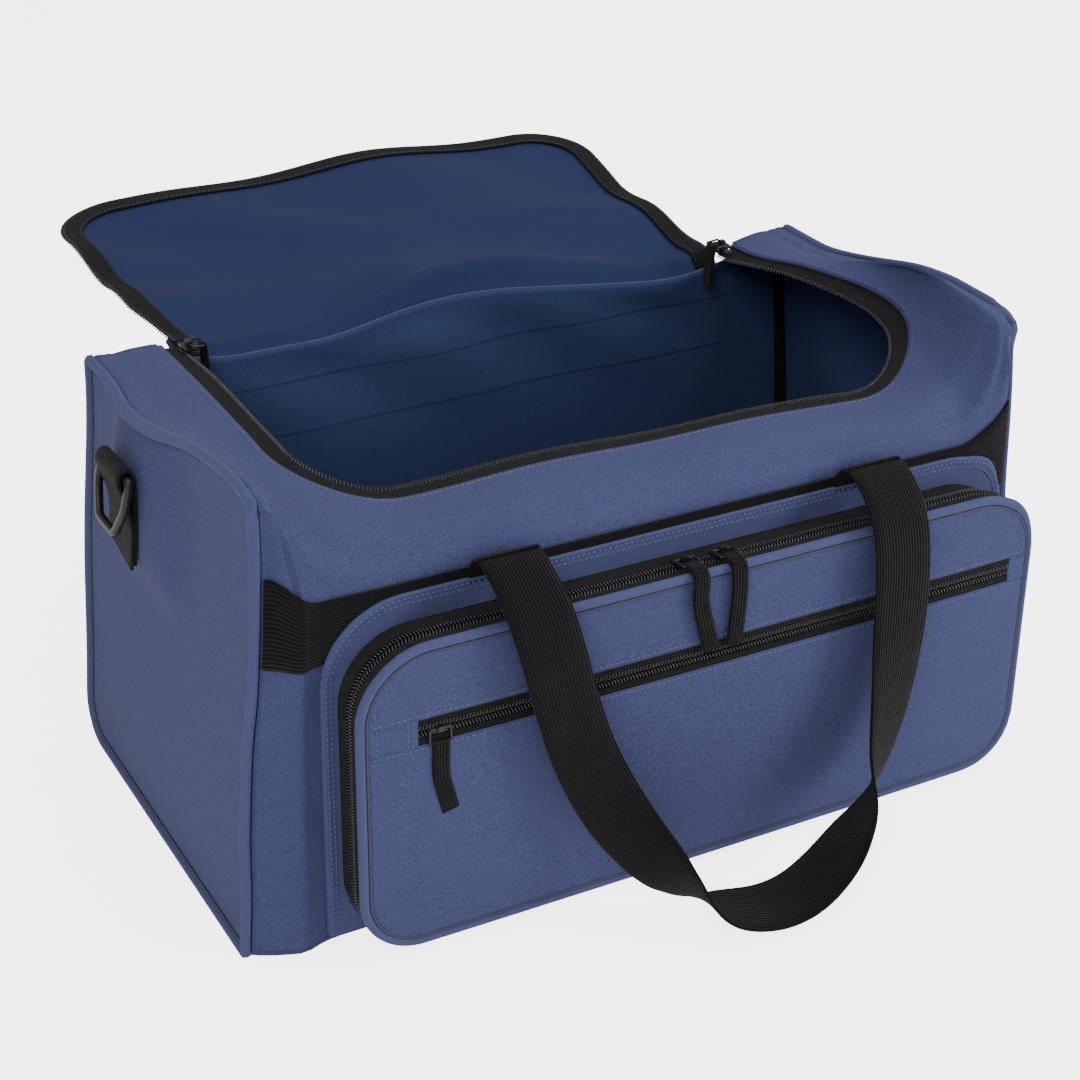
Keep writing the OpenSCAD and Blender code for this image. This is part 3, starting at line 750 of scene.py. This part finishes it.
def mouth_zip():
    P, F, U = mouth_strip(-6, 10.4, 255.2, 255.6, 133)
    piece("mouth_tape", P, F, TAPE, replaces=["mouth_zip_tape"], uv=U, solid=0.7)
    P, F, _ = mouth_rows(11.8, 255.8, 131, 1)
    piece("mouth_coil", P, F, COIL, replaces=["mouth_zip_coil"])
    path = mouth_path(-3.0, 131)
    path = np.stack([path[:, 0], path[:, 1], np.full(len(path), HIGH)], 1)
    P, F, _ = dashes(path, (0, 0, 1))
    piece("mouth_stitches", P, F, THREAD)


# ------------------------------------------------------------------ lid


def lid_point(x, v, lift=0.0):
    """Where the open lid's cloth lies: x across, v away from the fold, lift off its surface."""
    x, v = np.asarray(x, float), np.asarray(v, float)
    left_spread = 0.05 * smooth(v / 60) + 0.05 * smooth(v / 190)
    wide = 1.02 + np.where(x < 0, left_spread, 0.02 * smooth(v / 190))
    slide = -LID_SLIDE * after(v, 8, 110) * after(x, -250, 300)
    # a crest stands along the middle of the fold, and the lid rises slowly beyond it
    middle = np.clip(1 - (x / 175.0) ** 2, 0, 1) * (0.65 + 0.35 * np.sin(x / 34.0 + 1.1))
    crest = LID_CREST * middle * hump(v, 13 + 4 * np.sin(x / 60.0), 8.0)
    rise = 3.0 * smooth(v / 22) + LID_SLOPE * np.clip(v - 14, 0, None) + crest
    rise -= 4.0 * smooth(v / 90) * before(v, 200, 110)
    # slack waves
    wave = 3.2 * np.sin(x / 52.0 + 0.8) * smooth(v / 120)
    wave += 1.8 * np.sin(x / 23.0 + v / 31.0) * after(v, 30, 60)
    wave += 2.0 * np.sin(v / 15.0 + x / 70.0) * smooth(v / 25) * before(v, 150, 70)
    slanted = np.sin((x + 1.5 * v) / 19.0) * after(v, 50, 50) * before(v, 185, 40)
    wave += 1.4 * slanted * before(x, 60, 120)
    wave += 1.1 * np.sin((x - 1.1 * v) / 13.0) * after(v, 14, 20) * before(v, 100, 60)
    z = FOLD_Z - 1.5 + rise + wave + fold_rise(x * 1.02) * before(v, 85, 70) + lift
    y = FOLD_Y + v * 0.965 - 0.12 * lift
    z -= LID_DIP * (1 - smooth(v / 11.0))
    y -= 1.2 * (1 - smooth(v / 9.0))
    x = x * wide + slide
    return np.stack([x, y, z], -1)


def lid():
    half = MOUTH_HALF - LID_INSET
    deep = MOUTH_FRONT + FOLD_Y - LID_INSET
    r = MOUTH_R - LID_INSET
    vs = np.linspace(0, 1, 60)
    us = np.linspace(-1, 1, 110)
    P = []
    for t in vs:
        v = deep * t
        over = v - (deep - r)
        h = half
        if over > 0:
            h = half - r + math.sqrt(max(0.0, r * r - over * over))
        h += 12.0 * (1 - float(after(v, 12, 12)))
        P += [lid_point(h * u, v) for u in us]
    cover = piece("lid_cloth", np.array(P), quads(len(vs), len(us)), [NAVY, BLUE],
                  body="lid", replaces=["lid_panel"], give=False, solid=2.2)

    def edge(inset, front):
        path = mouth_path(inset, front, 2.5)
        return path[:, 0], FOLD_Y - path[:, 1]

    def strip(a, b, lift):
        ax, av = edge(a, 134)
        path = resample(np.stack(edge(b, 134), 1), 1.0)
        path = path[np.linspace(0, len(path) - 1, len(ax)).round().astype(int)]
        run = np.concatenate([[0], np.cumsum(np.hypot(np.diff(ax), np.diff(av)))])
        P, U = [], []
        for i in range(len(ax)):
            for t in np.linspace(0, 1, 9):
                x = ax[i] * (1 - t) + path[i, 0] * t
                v = av[i] * (1 - t) + path[i, 1] * t
                P.append(lid_point(x, v, lift))
                U.append((t * (b - a), run[i]))
        return np.array(P), quads(len(ax), 9), np.array(U)

    P, F, U = strip(15.6, 28.5, 0.9)
    piece("lid_tape", P, F, TAPE, body="lid", replaces=["lid_zip_tape"],
          give=False, uv=U, solid=-0.9)
    x, v = edge(16.4, 126)
    row = lid_point(x, v, 0.5)
    P, F, _ = coil_row(row, (0.0, -0.1, 1.0), COIL_W, flip=-1)
    piece("lid_coil", P, F, COIL, body="lid", replaces=["lid_zip_coil"],
          give=False)
    x, v = edge(27.3, 130)
    P, F, _ = dashes(lid_point(x, v, 2.0), (0, 0, 1))
    piece("lid_stitches", P, F, THREAD_DARK, body="lid", give=False)


# ------------------------------------------------------------------ webbing

# The handles' turning points (y, z), and the webbing's middle line with the direction
# of its width at each station.
FRONT_TURN = (-149.0, 228.0)
BACK_TURN = (144.0, 229.0)
LEG, HANDLE_X = 119.0, 4.0
FL, FR = HANDLE_X - LEG, HANDLE_X + LEG
FRONT_STATIONS = [
    ((FL, -150.2, 228.2), (1, 0, 0)), ((FL, -158, 226), (1, 0, 0)), ((FL + 1, -170, 217.5), (1, 0, 0)),
    ((FL + 4, -180, 203), (0.98, 0, 0.1)), ((FL + 9, -185, 181), (0.97, 0, 0.22)),
    ((FL + 16, -187, 152), (0.95, 0, 0.3)), ((FL + 26, -189, 118), (0.94, -0.05, 0.33)),
    ((FL + 41, -193, 83), (0.88, -0.2, 0.4)), ((FL + 58, -202, 53), (0.74, -0.5, 0.35)),
    ((FL + 75, -217, 31), (0.5, -0.82, 0.15)), ((FL + 94, -230, 17), (0.2, -0.96, -0.05)),
    ((FL + 117, -237, 11.5), (0, -0.99, -0.12)), ((FL + 142, -237, 12), (-0.06, -0.99, -0.12)),
    ((FL + 167, -231, 19), (-0.2, -0.96, -0.1)), ((FL + 190, -221, 31), (-0.42, -0.88, -0.1)),
    ((FL + 210, -210, 48), (-0.66, -0.72, -0.05)), ((FL + 224, -200, 72), (-0.86, -0.48, 0)),
    ((FR - 5, -193, 102), (-0.96, -0.25, 0)), ((FR - 1, -189, 136), (-1, -0.05, 0)),
    ((FR, -187, 164), (-1, 0, 0)), ((FR, -185, 185), (-1, 0, 0)), ((FR, -180, 203), (-1, 0, 0)),
    ((FR, -170, 217.5), (-1, 0, 0)), ((FR, -158, 226), (-1, 0, 0)), ((FR, -150.2, 228.2), (-1, 0, 0)),
]
BACK_HALF = [
    ((-LEG, 145.2, 229.3), (1, 0, 0)), ((-LEG, 147.6, 226), (1, 0, 0)), ((-LEG, 149, 218), (1, 0, 0)),
    ((-LEG, 149.6, 190), (1, 0, 0)), ((-LEG + 1, 150, 150), (1, 0, 0)),
    ((-LEG + 5, 151, 115), (0.98, 0.05, 0.15)),
    ((-LEG + 14, 153, 85), (0.92, 0.25, 0.28)), ((-LEG + 29, 158, 60), (0.72, 0.6, 0.3)),
    ((-LEG + 50, 165, 42), (0.4, 0.88, 0.2)), ((-LEG + 76, 170, 30), (0.15, 0.97, -0.1)),
    ((-LEG + 102, 172, 25), (0.05, 0.97, -0.2)),
]


def handle(name, stations, body, node):
    line = spline([list(c) + list(w) for c, w in stations], 2.5)
    P, F, U = sweep(line[:, :3], line[:, 3:], strap_section(WEB_W, HANDLE_T))
    piece(name, P, F, WEB, body=body, replaces=[node], give=False, uv=U)


def webbing():
    mirrored = [((-c[0], c[1], c[2]), (-w[0], w[1], w[2])) for c, w in BACK_HALF[::-1]]
    handle("handle_front", FRONT_STATIONS, "front_handle", "front_handle")
    handle("handle_back", BACK_HALF + mirrored, "back_handle", "back_handle")
    mid = BAND_LOW + WEB_W / 2
    xs = np.linspace(-265, 265, 180)
    path = np.stack([xs, front_y(xs) - 1.1, np.full(len(xs), mid)], 1)
    P, F, U = sweep(path, (0, 0, 1), strap_section(WEB_W, WEB_T))
    piece("band_front", P, F, WEB, replaces=["webbing_band_front"], uv=U)
    path = np.stack([xs, np.full(len(xs), HALF_D + 1.1), np.full(len(xs), mid)], 1)
    P, F, U = sweep(path, (0, 0, 1), strap_section(WEB_W, WEB_T))
    piece("band_back", P, F, WEB, replaces=["webbing_band_back"], uv=U)
    for side, turn, cx, name in ((-1, FRONT_TURN, HANDLE_X, "front"), (1, BACK_TURN, 0.0, "back")):
        parts = []
        y = side * (HALF_D + 0.2 + WEB_T * 1.5)
        for s in (-1, 1):
            x = cx + s * LEG
            pts = [(x, y, 198), (x, y, 212), (x, y + side * 0.5, 220),
                   (x, y * 0.4 + turn[0] * 0.6, turn[1] - 0.6), (x, turn[0], turn[1] + 0.6)]
            parts.append(sweep(spline(pts, 2.0), (1, 0, 0), strap_section(WEB_W, WEB_T)))
        P, F, U = join(parts)
        piece("anchors_" + name, P, F, WEB,
              replaces=[name + "_handle_anchors"], give=False, uv=U)


# (out, z) along the loop, (y, z) round the ring, and the ring's own section
LOOP = [(271.2, 181), (271.3, 204), (273.2, 219), (276.2, 229), (278.2, 238), (275.9, 242.6),
        (272.4, 243.2), (269.9, 240), (269.2, 231), (269.1, 208), (269.1, 184)]
RING = [(-22.5, 0), (-22.4, -14), (-20.8, -20), (-14, -32.5), (-11, -34.4), (0, -34.7),
        (11, -34.4), (14, -32.5), (20.8, -20), (22.4, -14), (22.5, 0), (19, 0.6), (-19, 0.6)]
RING_SECTION = [(-2.2, -1.4), (-1.4, -2.2), (1.4, -2.2), (2.2, -1.4),
                (2.2, 1.4), (1.4, 2.2), (-1.4, 2.2), (-2.2, 1.4)]
RING_TILT = 13


def end_rings():
    for side, name in ((-1, "left"), (1, "right")):
        path = spline([(side * p, RING_Y + 9 * before(z, 222, 44), z) for p, z in LOOP], 1.5)
        P, F, U = sweep(path, (0, 1, 0), strap_section(WEB_W, WEB_T))
        piece("loop_" + name, P, F, WEB, replaces=["ring_loop_" + name],
              give=False, uv=U)
        tilt = math.radians(RING_TILT)
        path = resample(RING, 1.2, closed=True)
        P3 = np.stack([side * (RING_X - path[:, 1] * math.sin(tilt)), RING_Y + path[:, 0],
                       RING_Z + path[:, 1] * math.cos(tilt)], 1)
        out = (side * math.cos(tilt), 0, math.sin(tilt))
        P, F, _ = sweep(P3, out, RING_SECTION, closed=True)
        piece("ring_" + name, P, F, PLASTIC, body="d_ring_" + name,
              replaces=["d_ring_" + name], give=False)


# ------------------------------------------------------------------ pocket


def round_outline(x0, x1, z0, z1, r_low, r_top, n=16):
    """A closed outline, starting at the middle of the lower edge and going to the left."""
    pts = [((x0 + x1) / 2, z0)]
    q = np.linspace(0, math.pi / 2, n)
    pts += [(x0 + r_low - r_low * math.sin(a), z0 + r_low - r_low * math.cos(a)) for a in q]
    pts += [(x0 + r_top - r_top * math.cos(a), z1 - r_top + r_top * math.sin(a)) for a in q]
    pts += [(x1 - r_top + r_top * math.sin(a), z1 - r_top + r_top * math.cos(a)) for a in q]
    pts += [(x1 - r_low + r_low * math.cos(a), z0 + r_low - r_low * math.sin(a)) for a in q]
    return pts


def pocket_ring(d=0.0, step=3.0):
    """The pocket's outline, drawn in by d."""
    pts = round_outline(POCKET_X - POCKET_HALF + d, POCKET_X + POCKET_HALF - d,
                        POCKET_LOW + d, POCKET_TOP - d, POCKET_R_LOW - d, POCKET_R_TOP - d)
    return resample(pts, step, closed=True)


def outward(path):
    """Unit vectors in X and Z that point out of the pocket's outline."""
    along = directions(path)
    return np.stack([-along[:, 1], along[:, 0]], 1)


def zip_part(path):
    """The part of the outline that the zip runs along, above both its ends."""
    return path[path[:, 1] > ZIP_END_Z]


def pocket_wall(path, y0, y1, rows=7):
    P = [(p[0], y0 + (y1 - y0) * t, p[1]) for p in path for t in np.linspace(0, 1, rows)]
    run = np.concatenate([[0], np.cumsum(np.linalg.norm(np.diff(path, axis=0), axis=1))])
    U = [(abs(y1 - y0) * t, s) for s in run for t in np.linspace(0, 1, rows)]
    return np.array(P), quads(len(path), rows), np.array(U)


def half_width(z):
    """How far the pocket's face reaches from its middle at height z."""
    edge = 3.0
    h, rt, rl = POCKET_HALF - edge, POCKET_R_TOP - edge, POCKET_R_LOW - edge
    up = z - (POCKET_TOP - edge - rt)
    low = (POCKET_LOW + edge + rl) - z
    if up > 0:
        return h - rt + math.sqrt(max(0.0, rt * rt - up * up))
    if low > 0:
        return h - rl + math.sqrt(max(0.0, rl * rl - low * low))
    return h


def face(name, z0, z1, nodes, x0=None, x1=None, rows=40):
    """Part of the pocket's face, from z0 to z1. It ends at the outline unless x0 or x1 is given."""
    us = np.linspace(0, 1, 120 if x0 is None and x1 is None else 12)
    P = []
    for z in np.linspace(z0, z1, rows):
        a = POCKET_X - half_width(z) if x0 is None else x0
        b = POCKET_X + half_width(z) if x1 is None else x1
        P += [(a + (b - a) * u, POCKET_FRONT, z) for u in us]
    F = quads(rows, len(us))
    piece(name, P, F, [BLUE, LINING_PAINTED_LIT], replaces=nodes, solid=2.2)


def pocket():
    # backing, with a folded edge
    x0, x1 = POCKET_X - POCKET_HALF - BACKING_EDGE, POCKET_X + POCKET_HALF + BACKING_EDGE
    line = resample(round_outline(x0, x1, 3.2, BACKING_TOP, 3, 50), 4, closed=True)
    mid = np.array([POCKET_X, 110.0])
    layers = []
    for k, y in BACKING_FOLD:
        q = mid + (line - mid) * k
        layers += [(p[0], y, p[1]) for p in q]
    F = [f[::-1] for f in quads(len(BACKING_FOLD), len(line), wrap_m=True)]
    piece("pocket_back", layers, F, BLUE_EDGE, replaces=["pocket_backing"])
    for d in (3.0, 6.0):
        # the outline goes on below the base, where its rows of stitches are cut off
        q = resample(round_outline(x0 + d, x1 - d, -20, BACKING_TOP - d, 3, 50 - d), 3, closed=True)
        q = q[q[:, 1] > 5]
        path = np.stack([q[:, 0], np.full(len(q), BACKING_Y), q[:, 1]], 1)
        P, F, _ = dashes(path, (0, -1, 0))
        piece("pocket_back_stitches_%d" % d, P, F, THREAD)
    ring = pocket_ring(0.0)
    around = zip_part(ring)
    P, F, U = pocket_wall(around, POCKET_BACK + 0.2, POCKET_ZIP_Y + ZIP_GAP)
    piece("pocket_tape_rear", P, F, TAPE, replaces=["pocket_rear_tape"], uv=U,
          solid=TAPE_THICK)
    P, F, U = pocket_wall(around, POCKET_ZIP_Y - ZIP_GAP, POCKET_RIM_Y)
    piece("pocket_tape_front", P, F, TAPE, replaces=["pocket_front_tape"], uv=U,
          solid=TAPE_THICK)
    fine = zip_part(pocket_ring(0.3, 1.5))
    out = outward(fine)
    out3 = np.stack([out[:, 0], np.zeros(len(out)), out[:, 1]], 1)
    rows = []
    for y, flip in ((POCKET_ZIP_Y + ROW_OUT, 1), (POCKET_ZIP_Y - ROW_OUT, -1)):
        line3 = np.stack([fine[:, 0], np.full(len(fine), y), fine[:, 1]], 1)
        rows.append(coil_row(line3, out3, POCKET_COIL_W, rise=1.2, flip=flip))
    P, F, _ = join(rows)
    piece("pocket_coil", P, F, COIL, replaces=["pocket_zip_coil"])
    low = ring[ring[:, 1] <= ZIP_END_Z + 1]
    low = low[np.argsort(low[:, 0])]
    P, F, _ = pocket_wall(low, POCKET_BACK + 0.2, POCKET_RIM_Y)
    piece("pocket_gusset", P, F, BLUE, replaces=["pocket_bottom_gusset"], solid=1.6)
    path = pocket_ring(0.2, 3.0)
    path3 = np.stack([path[:, 0], np.full(len(path), CORD_Y), path[:, 1]], 1)
    tube = sweep(path3, (0, 1, 0), round_section(2.7, 12), closed=True)
    piece("pocket_cord", tube[0], tube[1], BLUE_EDGE,
          replaces=["pocket_piping"])
    inner = pocket_ring(3.4, 3.0)
    inner3 = np.stack([inner[:, 0], np.full(len(inner), CORD_SEAM_Y), inner[:, 1]], 1)
    seam = sweep(inner3, (0, 1, 0), round_section(0.7, 6), closed=True)
    piece("pocket_cord_seam", seam[0], seam[1], THREAD_DARK)
    low_edge, high_edge = FACE_ZIP_Z - FACE_GAP, FACE_ZIP_Z + FACE_GAP
    face("pocket_face_top", high_edge, POCKET_TOP - FACE_INSET, ["pocket_face_upper"], rows=16)
    face("pocket_face_main", POCKET_LOW + FACE_INSET, low_edge, ["pocket_face_lower"])
    face("zip_end_left", low_edge, high_edge, ["face_zip_end_left"], x1=FACE_L, rows=6)
    face("zip_end_right", low_edge, high_edge, ["face_zip_end_right"], x0=FACE_R, rows=6)


def face_strip(y, z0, z1, n=120, rows=9):
    """A level strip of tape along the whole face zip."""
    x0, x1 = FACE_L - 3, FACE_R + 3
    xs, ts = np.linspace(x0, x1, n), np.linspace(0, 1, rows)
    P = [(x, y, z0 + (z1 - z0) * t) for x in xs for t in ts]
    U = [(abs(z1 - z0) * t, x - x0) for x in xs for t in ts]
    return np.array(P), quads(n, rows), np.array(U)


def face_zip():
    # two tapes, and a strip that closes the gap behind the teeth
    parts = [face_strip(FACE_TAPE_Y - 1.6, FACE_ZIP_Z + ZIP_GAP, FACE_ZIP_Z + 11),
             face_strip(FACE_TAPE_Y - 1.6, FACE_ZIP_Z - 11, FACE_ZIP_Z - ZIP_GAP),
             face_strip(FACE_TAPE_Y + 1.3, FACE_ZIP_Z - 6, FACE_ZIP_Z + 6)]
    P, F, U = join(parts)
    piece("face_tape", P, F, TAPE, replaces=["face_zip_tape"], uv=U,
          solid=TAPE_THICK)
    xs = np.linspace(FACE_L + 1, FACE_R - 1, 200)
    y = np.full(len(xs), FACE_TAPE_Y - 0.6)
    rows = []
    for dz, flip in ((ROW_OUT, -1), (-ROW_OUT, 1)):
        path = np.stack([xs, y, np.full(len(xs), FACE_ZIP_Z + dz)], 1)
        rows.append(coil_row(path, (0.0, -1.0, 0.0), POCKET_COIL_W, rise=1.5, flip=flip))
    P, F, _ = join(rows)
    piece("face_coil", P, F, COIL, replaces=["face_zip_coil"])
    lines = []
    for z in (FACE_ZIP_Z + 10.4, FACE_ZIP_Z - 10.4):
        reach = half_width(z) - 5
        lines.append([(POCKET_X - reach, POCKET_FRONT, z), (POCKET_X + reach, POCKET_FRONT, z)])
    for x in (FACE_L - 3, FACE_L - 6, FACE_L - 24, FACE_R + 3):
        lines.append([(x, POCKET_FRONT, FACE_ZIP_Z - 7), (x, POCKET_FRONT, FACE_ZIP_Z + 7)])
    P, F, _ = join([dashes(line, (0, -1, 0)) for line in lines])
    piece("face_stitches", P, F, THREAD)


# ------------------------------------------------------------------ sliders and pulls


PULL_W, PULL_T = 10.4, 2.3
# A pull's middle line from its slider: (out, up) for the pocket and the mouth, (up, out)
# for the face.
POCKET_PULL = [(-7.0, 4.9), (-12.0, 5.0), (-15.6, 4.5), (-18.4, 1.8), (-19.4, -3.0),
               (-20.0, -16), (-20.3, -46)]
FACE_PULL = [(-7.4, 4.5), (-13.0, 4.6), (-30.0, 4.4), (-42.0, 4.3), (-54.0, 4.2)]
MOUTH_PULL = [(-6.2, 3.4), (-7.4, 4.2), (-8.7, 2.8), (-9.6, -8.0), (-10.2, -24.0)]
FACE_SLIDER_X, MOUTH_SLIDER_Y, MOUTH_SLIDER_Z = -167.0, 124.0, 255.8


def pull(name, points, across, body):
    """A webbing pull along the points, its width along across."""
    P, F, U = sweep(spline(points, 1.2), across, strap_section(PULL_W, PULL_T))
    piece(name, P, F, WEB, body=body, replaces=[body], give=False, uv=U)


def sliders():
    for name, x, bend in (("left", -7.0, 8.0), ("right", 18.0, -2.0)):
        pts = [(x + bend * before(b, -20, 26), POCKET_ZIP_Y + a, POCKET_TOP + b)
               for a, b in POCKET_PULL]
        pull("pull_pocket_" + name, pts, (1, 0, 0), "pocket_pull_" + name)
    pts = [(FACE_SLIDER_X + 6 * before(a, -28, 30), FACE_TAPE_Y - b, FACE_ZIP_Z + a)
           for a, b in FACE_PULL]
    pull("pull_face", pts, (1, 0, 0), "face_pull")
    for s, name in ((-1, "left"), (1, "right")):
        x = s * (MOUTH_HALF - ZIP_IN)
        pts = [(x + s * a, MOUTH_SLIDER_Y, MOUTH_SLIDER_Z + b) for a, b in MOUTH_PULL]
        pull("pull_mouth_" + name, pts, (0, 1, 0), "mouth_pull_" + name)
    for key, thing in frame["nodes"].items():
        mat = None
        if "slider" in key:
            mat = ENAMEL
        elif "bail" in key:
            mat = STEEL
        if mat:
            thing.data.materials.clear()
            thing.data.materials.append(mat)
            if "slider" in key:
                soft_edge = thing.modifiers.new("edge", "BEVEL")
                soft_edge.width = 0.0004
                soft_edge.segments = 2


shell_front()
shell_back()
shell_bottom()
inside_seams()
end_panels()
end_trims()
mouth_zip()
lid()
webbing()
end_rings()
pocket()
face_zip()
sliders()
